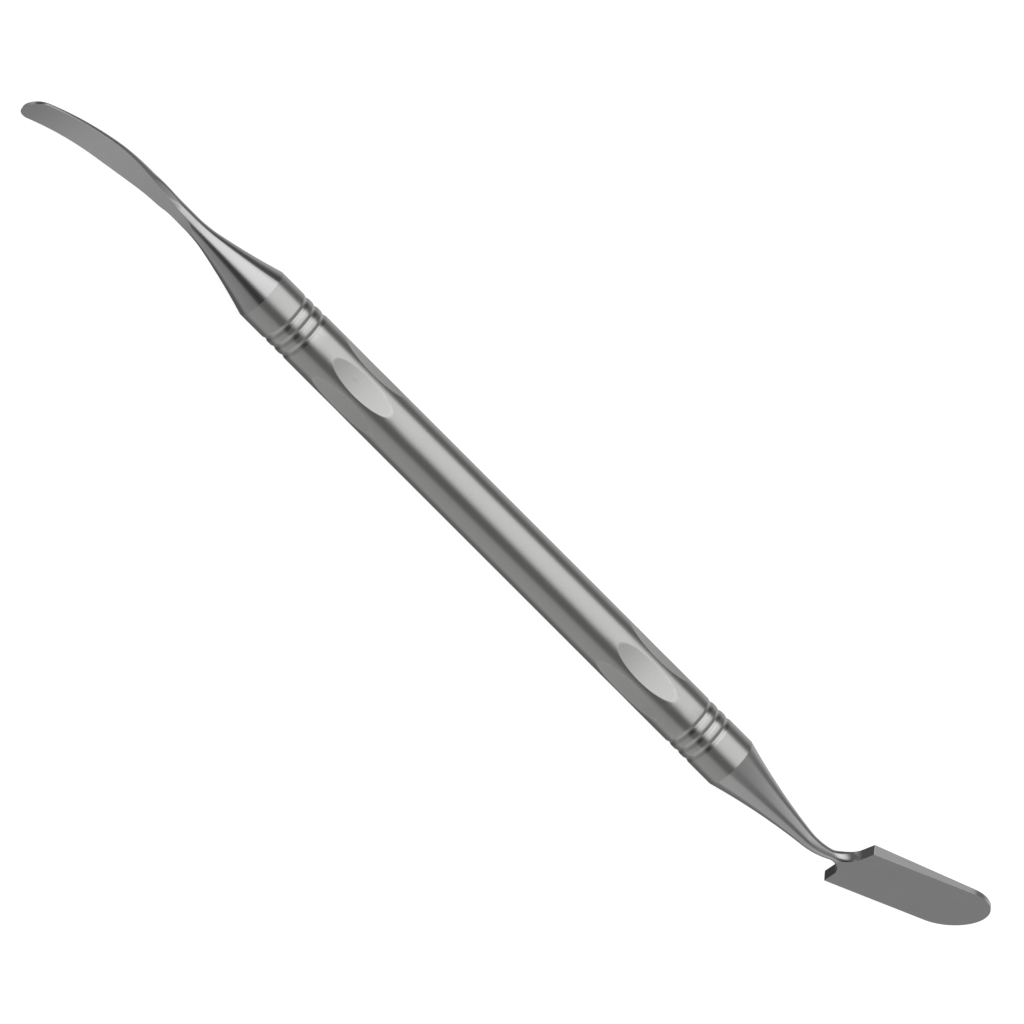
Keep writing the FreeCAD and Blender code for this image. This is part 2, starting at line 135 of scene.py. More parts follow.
def skin(name, rings, marks, loop=False):
    """Quads join point j of ring i to point j + 1 and to the same points of ring i + 1.

    With loop the last ring joins the first, as on a tube. Without it each end ring becomes
    one flat face. marks holds a number or a place per point for every named attribute.
    """
    stations, around = rings.shape[:2]
    index = np.arange(stations * around).reshape(stations, around)
    first = index if loop else index[:-1]
    second = np.roll(index, -1, axis=0) if loop else index[1:]
    quads = np.stack(
        [first, second, np.roll(second, -1, axis=1), np.roll(first, -1, axis=1)], axis=-1
    ).reshape(-1, 4)
    faces = quads.tolist()
    if not loop:
        faces += [index[0].tolist(), index[-1][::-1].tolist()]
    mesh = bpy.data.meshes.new(name)
    mesh.from_pydata(on_table(rings.reshape(-1, 3)), [], faces)
    for mark, values in marks.items():
        kind, field = ("FLOAT", "value") if values.ndim == 2 else ("FLOAT_VECTOR", "vector")
        mesh.attributes.new(mark, kind, "POINT").data.foreach_set(field, values.ravel())
    mesh.shade_smooth()
    mesh.validate()
    piece = bpy.data.objects.new(name, mesh)
    scene.collection.objects.link(piece)
    print(f"{name}: {len(mesh.vertices)} points, {sum(len(f) - 2 for f in faces)} triangles")
    return piece


def soft_min(first, second, blend):
    """The smaller of two heights, rounded over the blend width where they are close."""
    near = np.clip(blend - np.abs(first - second), 0.0, None) / blend
    return np.minimum(first, second) - near**2 * blend / 4.0


def arc_height(place, centre, radius):
    """Height of a round cutter's lowest side: its centre less the circle's half chord."""
    reach = np.clip(radius**2 - (place - centre[0]) ** 2, 0.0, None)
    return centre[1] - np.sqrt(reach)


def spaced(start, end, count):
    """Places from start to end that crowd together at both, by the cosine rule."""
    return start + (end - start) * (1.0 - np.cos(np.linspace(0.0, np.pi, count))) / 2.0


# %% [markdown]
# ## The handle
#
# The real handle is turned from bar: a plain cylinder with three shallow V grooves near
# each end. Six long shallow hollows are then milled round each half for the fingers.
# A boolean cut would leave long thin faces at every rim, so here the radius is a formula
# of the place along the handle and the angle round it, the least of cylinder, groove and
# hollow. The columns of the grid bend so that one of them always runs along the rim.

# %% Sizes of the handle
HANDLE_HALF = 46.2
HANDLE_RADIUS = 4.0
BORE_RADIUS = 2.75
RIM_BREAK, RIM_SHARE = 0.02, 0.3  # the broken rim, and where its middle point lies
FIRST_ROW = 0.1  # the first plain station's distance from an end, which keeps the shading flat
BORE_CHAMFER, BORE_SHOWN = 0.3, 2.0
GROOVE_PLACES = 41.4 - 1.65 * np.arange(3)
GROOVE_WIDTH, GROOVE_DEPTH = 0.93, 0.17
GROOVE_BOTTOM = 0.06
HOLLOW_COUNT = 6
HOLLOW_PLACE, HOLLOW_DEPTH, HOLLOW_RADIUS = 28.0, 0.35, 44.0
HOLLOW_HALF = np.sqrt(HOLLOW_RADIUS**2 - (HOLLOW_RADIUS - HOLLOW_DEPTH) ** 2)
EDGE_BLEND = 0.03
WEAR_WIDTH = 0.05
print("Each hollow is", round(2 * HOLLOW_HALF, 2), "mm long and", HOLLOW_DEPTH, "mm deep")

# %% Stations along the handle
NEAREST_ROWS = 0.004  # stations nearer than this to the last one are left out
groove_steps = np.array([0.0, 0.06, 0.13, 0.25, 0.45, 0.65, 0.8, 0.9, 0.96, 1.02, 1.09, 1.2])
groove_steps = np.concatenate([-groove_steps[:0:-1], groove_steps]) * GROOVE_WIDTH / 2
groove_rows = GROOVE_PLACES[:, None] + groove_steps
hollow_rows = HOLLOW_PLACE + HOLLOW_HALF * np.sin(np.linspace(-np.pi / 2, np.pi / 2, 49))
hollow_near = HOLLOW_PLACE + HOLLOW_HALF + np.array([0.05, 0.2, 0.6, 1.4])
hollow_far = 2 * HOLLOW_PLACE - hollow_near
rim_rows = HANDLE_HALF - RIM_BREAK * np.array([2.0, 1.0])
plain_rows = np.append(np.linspace(0.0, HANDLE_HALF - FIRST_ROW, 24), rim_rows)
rows = [groove_rows.ravel(), hollow_rows, hollow_near, hollow_far, plain_rows]
half_rows = np.unique(np.round(np.concatenate(rows), 4))
half_rows = half_rows[np.append(True, np.diff(half_rows) > NEAREST_ROWS)]
handle_rows = np.concatenate([-half_rows[:0:-1], half_rows])
print(len(handle_rows), "stations along the handle")

# %% Columns round the handle, with one along every hollow's rim
RIM_LEAST, RIM_SPREAD, SPREAD_REACH = 0.8, 4.0, 3.0  # degrees, degrees a mm, mm

hollow_floor = arc_height(
    np.abs(handle_rows),
    (HOLLOW_PLACE, HANDLE_RADIUS + HOLLOW_RADIUS - HOLLOW_DEPTH),
    HOLLOW_RADIUS,
)
in_reach = np.abs(np.abs(handle_rows) - HOLLOW_PLACE) < HOLLOW_RADIUS
hollow_floor = np.where(in_reach, hollow_floor, HANDLE_RADIUS * 2)
rim_angle = np.arccos(np.clip(hollow_floor / HANDLE_RADIUS, -1.0, 1.0))
from_middle = np.abs(np.abs(handle_rows) - HOLLOW_PLACE)
outside = np.clip(from_middle - HOLLOW_HALF, 0.0, SPREAD_REACH)
rim_column = np.maximum(rim_angle, np.radians(RIM_LEAST + RIM_SPREAD * outside))
inner_steps = np.array([0.0, 0.2, 0.4, 0.6, 0.78, 0.9, 0.965, 1.0])
outer_steps = np.array([0.03, 0.09, 0.2, 0.35, 0.5, 0.65, 0.8, 0.92])
sector = np.pi / HOLLOW_COUNT
inside_rim = rim_column[:, None] * inner_steps
past_rim = rim_column[:, None] * (1 - outer_steps) + sector * outer_steps
half_angles = np.concatenate([inside_rim, past_rim], axis=1)
ridge = np.full((len(handle_rows), 1), sector)
sector_angles = np.concatenate([-half_angles[:, :0:-1], half_angles, ridge], axis=1)
centres = 2 * sector * np.arange(HOLLOW_COUNT)
handle_angles = (centres[None, :, None] + sector_angles[:, None, :]).reshape(len(handle_rows), -1)
print(handle_angles.shape[1], "columns round it")

# %% The handle's radius, with grooves and hollows


def groove_floor(place):
    """The least height of three V cutters: a hyperbola, so that each tip is a little round."""
    slope = 2 * GROOVE_DEPTH / GROOVE_WIDTH
    off = np.sqrt((np.abs(place)[:, None] - GROOVE_PLACES) ** 2 + GROOVE_BOTTOM**2)
    return (HANDLE_RADIUS - GROOVE_DEPTH + slope * (off - GROOVE_BOTTOM / 2)).min(axis=1)


from_hollow = (handle_angles + sector) % (2 * sector) - sector
grooved = groove_floor(handle_rows)[:, None]
hollowed = hollow_floor[:, None] / np.cos(from_hollow)
outer_radius = soft_min(soft_min(HANDLE_RADIUS, grooved, EDGE_BLEND), hollowed, EDGE_BLEND)
nearest_cut = np.minimum(np.abs(grooved - HANDLE_RADIUS), np.abs(hollowed - HANDLE_RADIUS))
handle_edge = np.exp(-((nearest_cut / WEAR_WIDTH) ** 2))

print("Radius from", round(outer_radius.min(), 3), "to", round(outer_radius.max(), 3), "mm")

# %% The handle's ends, and its skin outside and in the bore
end_path = np.array(
    [
        (HANDLE_HALF - RIM_BREAK * RIM_SHARE, HANDLE_RADIUS - RIM_BREAK * RIM_SHARE),
        (HANDLE_HALF, HANDLE_RADIUS - RIM_BREAK),
        (HANDLE_HALF, BORE_RADIUS + BORE_CHAMFER),
        (HANDLE_HALF - BORE_CHAMFER, BORE_RADIUS),
        (HANDLE_HALF - BORE_SHOWN, BORE_RADIUS),
    ]
)
end_rows, end_radii = end_path.T
end_edge = np.array([1.0, 1.0, 0.0, 0.0, 0.0])


def with_ends(outside, end):
    """The outside's rows, then one end's, and the same in reverse for the other end."""
    rows = np.broadcast_to(end[:, None], (len(end), outside.shape[1]))
    return np.concatenate([outside, rows, rows[::-1]])


places = np.concatenate([handle_rows, end_rows, -end_rows[::-1]])
radii = with_ends(outer_radius, end_radii)
edge = with_ends(handle_edge, end_edge)
last_angles = handle_angles[-1:].repeat(len(end_rows), 0)
first_angles = handle_angles[:1].repeat(len(end_rows), 0)
angles = np.concatenate([handle_angles, last_angles, first_angles])


def round_grid(places, radii, angles):
    """x is the place, y and z are the radius times cosine and sine of the angle."""
    along = np.broadcast_to(places[:, None], radii.shape)
    return np.stack([along, radii * np.cos(angles), radii * np.sin(angles)], axis=-1)


handle_rings = round_grid(places, radii, angles)
handle = skin("handle", handle_rings, {"edge": edge, "drawing": handle_rings}, loop=True)

# %% [markdown]
# ## What both working ends share
#
# Each end starts as a turned spigot, which sits in the bore, and a shoulder that meets the
# handle's end face. Beyond it the ring of points keeps one layout from the shoulder to
# the tip: a front, two walls, a back, and a softened corner between each pair. On the
# round cone the front and back are only a hair wide. On the blade they become its faces.

# %% Corners softened in place
SPIGOT_END = 34.2
SPIGOT_RADIUS = 2.74
SPIGOT_LEAD = 0.4
LARGEST_SHARE = 0.45  # the most of a side that a corner may take up
SHARP_FROM, SHARP_OVER = 0.02, 0.02  # corners narrower than this carry no wear


def soften(sides, widths):
    """Join the sides of a ring, and round each corner between them by its own width.

    sides is a list of arrays (stations, points, 2); the end of one is the start of the
    next. Each corner becomes a curve: the way back times (1 - share) squared, and the way
    ahead times share squared. One more point on either side keeps the sides flat.
    """
    parts, edges = [], []
    share = np.array([0.0, 0.17, 0.34, 0.5, 0.66, 0.83, 1.0])[None, :, None]
    for number, (side, width) in enumerate(zip(sides, widths)):
        after = sides[(number + 1) % len(sides)]
        corner = side[:, -1]
        back, ahead = side[:, -2] - corner, after[:, 1] - corner
        lengths = [np.linalg.norm(way, axis=1, keepdims=True) + 1e-9 for way in (back, ahead)]
        step = np.minimum(width, LARGEST_SHARE * np.minimum(*lengths))
        back, ahead = (back / lengths[0] * step)[:, None], (ahead / lengths[1] * step)[:, None]
        curve = back * (1 - share) ** 2 + ahead * share**2
        rounded = np.concatenate([back * 2, curve, ahead * 2], axis=1)
        parts += [side[:, 1:-1], rounded + corner[:, None]]
        sharp = np.clip((step - SHARP_FROM) / SHARP_OVER, 0.0, 1.0)
        mark = np.pad(np.ones(share.size), 1)
        edges += [np.zeros((len(side), side.shape[1] - 2)), sharp * mark]
    return np.concatenate(parts, axis=1), np.concatenate(edges, axis=1)


def with_spigot(rings, edges, side):
    """Put the shoulder, the spigot and its lead in front of the first ring.

    The first ring is round, so each new ring is the same ring brought in to a new radius.
    """
    ring = rings[0]
    radius = np.linalg.norm(ring[:, 1:], axis=1, keepdims=True)
    turned = [
        (SPIGOT_END, SPIGOT_RADIUS - SPIGOT_LEAD),
        (SPIGOT_END + SPIGOT_LEAD, SPIGOT_RADIUS),
        (HANDLE_HALF, SPIGOT_RADIUS),
        (HANDLE_HALF, HANDLE_RADIUS - RIM_BREAK),
        (HANDLE_HALF + RIM_BREAK * RIM_SHARE, HANDLE_RADIUS - RIM_BREAK * RIM_SHARE),
    ]
    new = []
    for place, wanted in turned:
        placed = ring * (wanted / radius)
        placed[:, 0] = place * side
        new.append(placed)
    marks = np.zeros((len(turned), edges.shape[1]))
    marks[3:] = 1.0
    return np.concatenate([np.stack(new), rings]), np.concatenate([marks, edges])


# %% [markdown]
# ## The slim blade end
#
# The cone runs in one long hollow curve into a round neck. From there the section swells
# into a half oval: flat across the scooped face, rounded over the back. Each section is
# an oval cut by the face's height, so three formulas along the blade are enough: half
# width, back height and face height. The rounded nose limits the width near the tip.

# %% Sizes and outlines of the slim blade end
SLIM_CONE, SLIM_FLARE = 109.5, 21.0
SLIM_NECK, SLIM_NECK_PLACE = 1.245, 60.0
SWELL_PLACE, SWELL_LENGTH, SINK_LENGTH = 62.5, 13.0, 6.5
SIDE_ROOT, SLIM_HALF_WIDTH, EDGE_THICKNESS = 1.25, 2.52, 0.45
SIDE_BLEND, WALL_RUN = 0.22, 2.5
FACE_PLACE, FACE_RADIUS, FACE_DEPTH = 67.0, 46.0, 0.8
BACK_PLACE, BACK_RADIUS = 64.7, 46.29
SCOOP_PLACE, SCOOP_RADIUS = 62.0, 9.0
SLIM_TIP, NOSE_RADIUS, NOSE_DROP = 88.7, 2.64, 0.25
HAIR = 0.03
SLIM_CORNERS = [0.06, 0.03, 0.03, 0.06]


def slim_cone(place):
    """Two hollow arcs: a long one from the shoulder, met smoothly by a short one."""
    flare = np.array([SLIM_NECK_PLACE, SLIM_NECK + SLIM_FLARE])
    rim = np.array([HANDLE_HALF, HANDLE_RADIUS])
    gap = np.linalg.norm(rim - flare)
    towards = (rim - flare) / gap
    apart = SLIM_CONE - SLIM_FLARE
    run = (apart**2 - SLIM_CONE**2 + gap**2) / (2 * gap)
    off = np.sqrt(apart**2 - run**2)
    cone = flare + towards * run + np.array([towards[1], -towards[0]]) * off
    joint = cone + (flare - cone) * SLIM_CONE / apart
    return np.where(
        place < joint[0],
        arc_height(place, cone, SLIM_CONE),
        arc_height(np.minimum(place, SLIM_NECK_PLACE), flare, SLIM_FLARE),
    )


def arc_drop(reach, radius):
    """How far an arc has dropped, this reach from its top."""
    return radius - np.sqrt(radius**2 - np.clip(reach, 0.0, None) ** 2)


def eased(share):
    """Three times the square less twice the cube: a change that starts and ends level."""
    share = np.clip(share, 0.0, 1.0)
    return share * share * (3.0 - 2.0 * share)


def side_wall(place):
    """Half width between the walls: two mirrored arcs out from the neck, then straight."""
    rise = SLIM_HALF_WIDTH - SIDE_ROOT
    radius = (SWELL_LENGTH**2 + rise**2) / (4 * rise)
    past = np.clip(place - SWELL_PLACE, 0.0, SWELL_LENGTH)
    outwards = SIDE_ROOT + arc_drop(np.minimum(past, SWELL_LENGTH / 2), radius)
    level = SLIM_HALF_WIDTH - arc_drop(SWELL_LENGTH - np.maximum(past, SWELL_LENGTH / 2), radius)
    return np.where(past < SWELL_LENGTH / 2, outwards, level)


def slim_sides(place):
    """Front, wall, back and wall of each section, in the oval's own heights and widths."""
    past = place - SWELL_PLACE
    swell, sink = eased(past / SWELL_LENGTH), eased(past / SINK_LENGTH)
    face = -FACE_DEPTH - arc_drop(place - FACE_PLACE, FACE_RADIUS)
    back = SLIM_NECK - arc_drop(place - BACK_PLACE, BACK_RADIUS)
    neck = np.where(place < SWELL_PLACE, slim_cone(place), SLIM_NECK)
    middle = face * sink
    past_nose = np.clip(place - (SLIM_TIP - NOSE_RADIUS), 0.0, None) / NOSE_RADIUS
    half_height = np.where(place < SWELL_PLACE, neck, back - middle)
    half_height = half_height * (1 - NOSE_DROP * past_nose**3)
    edge = FACE_DEPTH + (EDGE_THICKNESS - FACE_DEPTH) * swell
    plan = SIDE_ROOT + (SLIM_HALF_WIDTH - SIDE_ROOT) * swell
    walled = plan / np.sqrt(1.0 - np.clip(edge / (back - face), 0.0, 0.9) ** 2)
    walling = eased((past - SINK_LENGTH) / WALL_RUN + 1.0)
    half_width = half_height + (np.maximum(walled, half_height) - half_height) * walling
    run_out = np.clip(SCOOP_PLACE - place, 0.0, SCOOP_RADIUS)
    floor = face - arc_drop(run_out, SCOOP_RADIUS)
    cut = np.arccos(np.clip((floor - middle) / half_height, -np.cos(HAIR), 1.0))
    nose = NOSE_RADIUS * np.sqrt(1 - np.clip(past_nose, 0.0, 1.0) ** 2)
    limit = np.minimum(side_wall(place), nose)
    limit = np.where(place < SWELL_PLACE, HANDLE_RADIUS * 2, limit)
    top = np.arcsin(np.minimum(limit / half_width, 0.9995))

    def on_oval(angle):
        """Height by the cosine and width by the sine, no wider than the walls allow."""
        high = middle[:, None] + half_height[:, None] * np.cos(angle)
        wide = half_width[:, None] * np.sin(np.abs(angle))
        blend = SIDE_BLEND * np.clip(past / SINK_LENGTH, 0.02, 1.0)[:, None]
        wide = np.clip(soft_min(wide, limit[:, None], blend), 1e-4, None)
        return np.stack([high, wide * np.sign(angle)], axis=-1)

    share = np.linspace(0.0, 1.0, 19)[None, :]
    wall = on_oval(cut[:, None] + (top - cut)[:, None] * share)
    other = (wall * np.array([1.0, -1.0]))[:, ::-1]
    crown = on_oval(top[:, None] * spaced(1.0, -1.0, 41)[None, :])
    step = np.linspace(0.0, 1.0, 13)[None, :, None]
    front = other[:, -1:] * (1 - step) + wall[:, :1] * step
    return [front, wall, crown, other]


# %% Skin the slim blade end
nose_turns = np.linspace(0.04, 0.995, 36) * np.pi / 2
slim_places = np.concatenate(
    [
        [HANDLE_HALF + RIM_BREAK, HANDLE_HALF + 2 * RIM_BREAK],
        np.linspace(HANDLE_HALF + FIRST_ROW, 57.5, 34),
        np.linspace(57.7, 62.4, 32),
        np.linspace(62.5, 86.0, 72),
        SLIM_TIP - NOSE_RADIUS + NOSE_RADIUS * np.sin(nose_turns),
    ]
)
section, slim_edge = soften(slim_sides(slim_places), SLIM_CORNERS)
slim_rings = np.stack(
    [np.broadcast_to(-slim_places[:, None], section.shape[:2]), section[..., 0], section[..., 1]], axis=-1
)
slim_rings, slim_edge = with_spigot(slim_rings, slim_edge, -1)
slim_rings, slim_edge = slim_rings[:, ::-1], slim_edge[:, ::-1]
slim_end = skin("slim_blade", slim_rings, {"edge": slim_edge, "drawing": slim_rings})

# %% [markdown]
# ## The broad blade end
#
# A second turned cone runs into a thin neck that bends away. Past the bend a round head
# flares out of the neck to a leaning shoulder, and two flats leave a blade of it with
# square walls, thinning to a rounded tip. The sections follow the bent middle line. Each
# is a circle of the head's radius between the heights of the two flats, limited by the
# blade's plan. One row of rings can hold it all, because the line never doubles back.

# %% Sizes and outlines of the broad blade end
BROAD_CONE, NECK_ROOT, NECK_THIN = 102.0, 1.148, 0.71
BEND_PLACE, BEND_RADIUS = 63.3, 10.0
BEND = np.radians(26.4)
FACE_OFFSET = 0.88
SHOULDER_RUN, SHOULDER_LEAN = 5.51, np.radians(6.0)
HEAD_BLEND = 2.85
BROAD_HALF_WIDTH, BROAD_LENGTH = 5.63, 22.6
ROOT_THICKNESS, TIP_THICKNESS = 1.47, 0.55
PLAN_BLEND = 0.05
BROAD_CORNERS = [0.09, 0.05, 0.05, 0.09]
CLEAR = 1.0  # how far the circle stands outside the plan, where only the plan should count

bend_tangent = BEND_RADIUS * np.tan(BEND / 2)
root_place = BEND_PLACE - bend_tangent
head_start = bend_tangent - SHOULDER_RUN
lean = np.tan(SHOULDER_LEAN)
flare_reach = HEAD_BLEND * np.cos(SHOULDER_LEAN) / (1 + np.sin(SHOULDER_LEAN))
flare_corner = -(BROAD_HALF_WIDTH - NECK_THIN) * lean
round_start = BROAD_LENGTH - BROAD_HALF_WIDTH
print("The neck starts to bend at", round(root_place, 2), "mm")

# %% The middle line, radius and limits at every station
rim, root = np.array([HANDLE_HALF, HANDLE_RADIUS]), np.array([root_place, NECK_ROOT])
chord = root - rim
half_chord = np.linalg.norm(chord) / 2
upward = np.array([-chord[1], chord[0]]) / (2 * half_chord)
cone_centre = (rim + root) / 2 + upward * np.sqrt(BROAD_CONE**2 - half_chord**2)

near_rim = HANDLE_HALF + RIM_BREAK * np.array([1.0, 2.0])
cone_places = np.append(near_rim, np.linspace(HANDLE_HALF + FIRST_ROW, root_place, 40))
bends = np.linspace(0.0, BEND, 22)[1:]
flare_turns = np.linspace(0.0, np.pi / 2 - SHOULDER_LEAN, 34)
lean_rise = spaced(0.0, 1.0, 16)[1:]
flare_end = flare_corner + flare_reach * np.sin(SHOULDER_LEAN)
flare_top = NECK_THIN + flare_reach * np.cos(SHOULDER_LEAN)
neck_runs = np.linspace(head_start, flare_corner - flare_reach, 5)[1:-1]
tip_turns = np.linspace(0.03, 0.994, 40) * np.pi / 2
blade_runs = np.concatenate(
    [
        [0.02, 0.06, 0.15],
        np.linspace(0.4, round_start, 26),
        round_start + BROAD_HALF_WIDTH * np.sin(tip_turns),
    ]
)
head_runs = np.concatenate(
    [
        neck_runs,
        flare_corner - flare_reach + HEAD_BLEND * np.sin(flare_turns),
        flare_end * (1 - lean_rise),
        blade_runs,
    ]
)
head_radii = np.concatenate(
    [
        np.full(len(neck_runs), NECK_THIN),
        NECK_THIN + HEAD_BLEND * (1 - np.cos(flare_turns)),
        flare_top + (BROAD_HALF_WIDTH - flare_top) * lean_rise,
        np.full(len(blade_runs), BROAD_HALF_WIDTH + CLEAR),
    ]
)
past_round = np.clip(head_runs - round_start, 0.0, None)
head_plan = np.sqrt(np.clip(BROAD_HALF_WIDTH**2 - past_round**2, 0.0, None))
head_back = ROOT_THICKNESS + (TIP_THICKNESS - ROOT_THICKNESS) * head_runs / BROAD_LENGTH - FACE_OFFSET
print(len(head_runs), "stations on the head")

# %% Put cone, bend and head on one line
before = len(cone_places) + len(bends)
far = np.full(before, HANDLE_RADIUS * 2)
radius = np.concatenate(
    [
        arc_height(cone_places, cone_centre, BROAD_CONE),
        NECK_ROOT + (NECK_THIN - NECK_ROOT) * bends / BEND,
        head_radii,
    ]
)
plan = np.concatenate([far, head_plan])
front_height = np.concatenate([-far, np.full(len(head_runs), -FACE_OFFSET)])
back_height = np.concatenate([far, head_back])
turned = np.concatenate([cone_places * 0.0, bends, np.full(len(head_runs), BEND)])
past_corner = SHOULDER_RUN + head_runs
line_x = np.concatenate(
    [cone_places, root_place + BEND_RADIUS * np.sin(bends), BEND_PLACE + past_corner * np.cos(BEND)]
)
line_y = np.concatenate(
    [cone_places * 0.0, BEND_RADIUS * (1 - np.cos(bends)), past_corner * np.sin(BEND)]
)


def broad_sides(radius, plan, low, high):
    """Front, wall, back and wall: a circle between two heights, no wider than the plan."""
    first = np.arccos(np.clip(-low / radius, -np.cos(HAIR), np.cos(HAIR)))
    last = np.arccos(np.clip(-high / radius, -np.cos(HAIR), np.cos(HAIR)))
    angle = first[:, None] + (last - first)[:, None] * np.linspace(0.0, 1.0, 29)[None, :]
    wide = soft_min(radius[:, None] * np.sin(angle), plan[:, None], PLAN_BLEND)
    wall = np.stack([-radius[:, None] * np.cos(angle), np.clip(wide, 1e-4, None)], axis=-1)
    other = (wall * np.array([1.0, -1.0]))[:, ::-1]
    step = np.linspace(0.0, 1.0, 15)[None, :, None]
    front = other[:, -1:] * (1 - step) + wall[:, :1] * step
    back = wall[:, -1:] * (1 - step) + other[:, :1] * step
    return [front, wall, back, other]


# %% Skin the broad blade end
section, broad_edge = soften(broad_sides(radius, plan, front_height, back_height), BROAD_CORNERS)
high, wide = section[..., 0], section[..., 1]
broad_rings = np.stack(
    [
        line_x[:, None] - high * np.sin(turned)[:, None],
        line_y[:, None] + high * np.cos(turned)[:, None],
        wide,
    ],
    axis=-1,
)
line_length = np.concatenate(
    [cone_places, root_place + BEND_RADIUS * bends, BEND_PLACE + past_corner]
)
straight = np.stack([np.broadcast_to(line_length[:, None], high.shape), high, wide], axis=-1)
straight, _ = with_spigot(straight, broad_edge, 1)
broad_rings, broad_edge = with_spigot(broad_rings, broad_edge, 1)
broad_end = skin("broad_blade", broad_rings, {"edge": broad_edge, "drawing": straight})

# %% Attach the pieces to the root body and hide the imported nodes they replace
for piece, node, slot in (
    (handle, "handle_tube", "handle_steel"),
    (slim_end, "slim_blade_end", "blade_steel"),
    (broad_end, "broad_blade_end", "blade_steel"),
):
    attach(piece, "root")
    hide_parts(node)

# %% [markdown]
# ## Marks in the steel
#
# All of it is stainless steel, finished in three ways. The handle is blasted with fine
# beads, the cones keep faint rings from turning, and the blades are brushed lengthwise.
# These differ only in size: a field of small marks that may be longer one way than the
# other. So one node group draws marks of any length and width, and each steel places it
# with its own numbers. A photo of real steel could be laid on instead, but it would show
# its pixels close up and stretch over the curves, while noise does neither. The marks are
# drawn in the attribute "drawing", where even the bent blade is straight.

# %% Helpers for nodes


def node(tree, kind, inputs=None, **options):
    """Add a node, set its options, and feed each input a number or another's output."""
    new = tree.nodes.new(kind)
    for name, value in options.items():
        setattr(new, name, value)
    for key, value in (inputs or {}).items():
        if isinstance(value, bpy.types.NodeSocket):
            tree.links.new(value, new.inputs[key])
        else:
            new.inputs[key].default_value = value
    return new


def arithmetic(tree, operation, *values):
    """One step of arithmetic on numbers or outputs."""
    return node(tree, "ShaderNodeMath", dict(enumerate(values)), operation=operation).outputs[0]


def new_group(name, inputs, outputs):
    """An empty node group, its input sockets by name, and its output node."""
    tree = bpy.data.node_groups.new(name, "ShaderNodeTree")
    for label, value in inputs.items():
        socket = tree.interface.new_socket(label, in_out="INPUT", socket_type="NodeSocketFloat")
        socket.default_value = value
    for label in outputs:
        tree.interface.new_socket(label, in_out="OUTPUT", socket_type="NodeSocketFloat")
    return tree, tree.nodes.new("NodeGroupInput").outputs, tree.nodes.new("NodeGroupOutput")


def send(tree, group_end, **results):
    """Link each result to the group's output of that name."""
    for label, value in results.items():
        tree.links.new(value, group_end.inputs[label])


def drawing_parts(tree):
    """The place in the straight drawing, in millimetres, as three numbers."""
    place = node(tree, "ShaderNodeAttribute", attribute_name="drawing")
    return node(tree, "ShaderNodeSeparateXYZ", {0: place.outputs["Vector"]}).outputs


def noise_of(tree, length, width, detail=2.0):
    """Noise whose blots are length long along the piece and width wide across it."""
    x, y, z = drawing_parts(tree)
    cells = {0: arithmetic(tree, "DIVIDE", x, length)}
    cells[1] = arithmetic(tree, "DIVIDE", y, width)
    cells[2] = arithmetic(tree, "DIVIDE", z, width)
    place = node(tree, "ShaderNodeCombineXYZ", cells).outputs[0]
    inputs = {"Vector": place, "Scale": 1.0, "Detail": detail, "Roughness": 0.6}
    return node(tree, "ShaderNodeTexNoise", inputs).outputs[0]


# %% Fine marks, as a height and as a tone round one
marks, given, group_end = new_group(
    "marks", {"Length": 1.0, "Width": 1.0, "Contrast": 0.1}, ["Height", "Tone"]
)
height = noise_of(marks, given["Length"], given["Width"])
off_middle = arithmetic(marks, "SUBTRACT", height, 0.5)
shading = arithmetic(marks, "MULTIPLY", off_middle, given["Contrast"])
send(marks, group_end, Height=height, Tone=arithmetic(marks, "ADD", shading, 1.0))

# %% Worn edges: the softened corners, broken up where use has not reached
worn_edges, given, group_end = new_group("worn_edges", {"Strength": 1.0}, ["Mask"])
edge_mark = node(worn_edges, "ShaderNodeAttribute", attribute_name="edge").outputs["Fac"]
gaps = {"Value": noise_of(worn_edges, 0.9, 0.9), "From Min": 0.3, "From Max": 0.62}
broken = node(worn_edges, "ShaderNodeMapRange", gaps, interpolation_type="SMOOTHSTEP").outputs[0]
worn = arithmetic(worn_edges, "MULTIPLY", edge_mark, broken)
send(worn_edges, group_end, Mask=arithmetic(worn_edges, "MULTIPLY", worn, given["Strength"]))

# %% Past the neck: none on the cone, all on the blade
past_neck, given, group_end = new_group("past_neck", {"From": 0.0, "To": 1.0}, ["Mask"])
far_out = arithmetic(past_neck, "ABSOLUTE", drawing_parts(past_neck)["X"])
span = {"Value": far_out, "From Min": given["From"], "From Max": given["To"]}
eased_in = node(past_neck, "ShaderNodeMapRange", span, interpolation_type="SMOOTHSTEP")
send(past_neck, group_end, Mask=eased_in.outputs[0])

# %% Hairlines: where a smooth noise passes its middle level, in a few places only
hairlines, given, group_end = new_group(
    "hairlines", {"Length": 9.0, "Width": 1.5, "Fineness": 0.004}, ["Mask"]
)
slow = noise_of(hairlines, given["Length"], given["Width"], 0.0)
level_line = arithmetic(hairlines, "SUBTRACT", slow, 0.5)
thin = arithmetic(hairlines, "DIVIDE", arithmetic(hairlines, "ABSOLUTE", level_line), given["Fineness"])
line = arithmetic(hairlines, "MAXIMUM", arithmetic(hairlines, "SUBTRACT", 1.0, thin), 0.0)
rare = {"Value": noise_of(hairlines, 4.0, 4.0), "From Min": 0.52, "From Max": 0.6}
shown = node(hairlines, "ShaderNodeMapRange", rare).outputs[0]
send(hairlines, group_end, Mask=arithmetic(hairlines, "MULTIPLY", line, shown))
print("Groups:", sorted(group.name for group in bpy.data.node_groups))

# %% [markdown]
# ## Two steels
#
# A steel lays three fields of marks over each other: two fine ones, blended by a mask,
# that also dent the surface, and slow patches that only change its tone. Worn edges shine
# more, and a few hairlines from use shine less. The metal itself is the same everywhere,
# so Metallic stays a plain number on the shader.

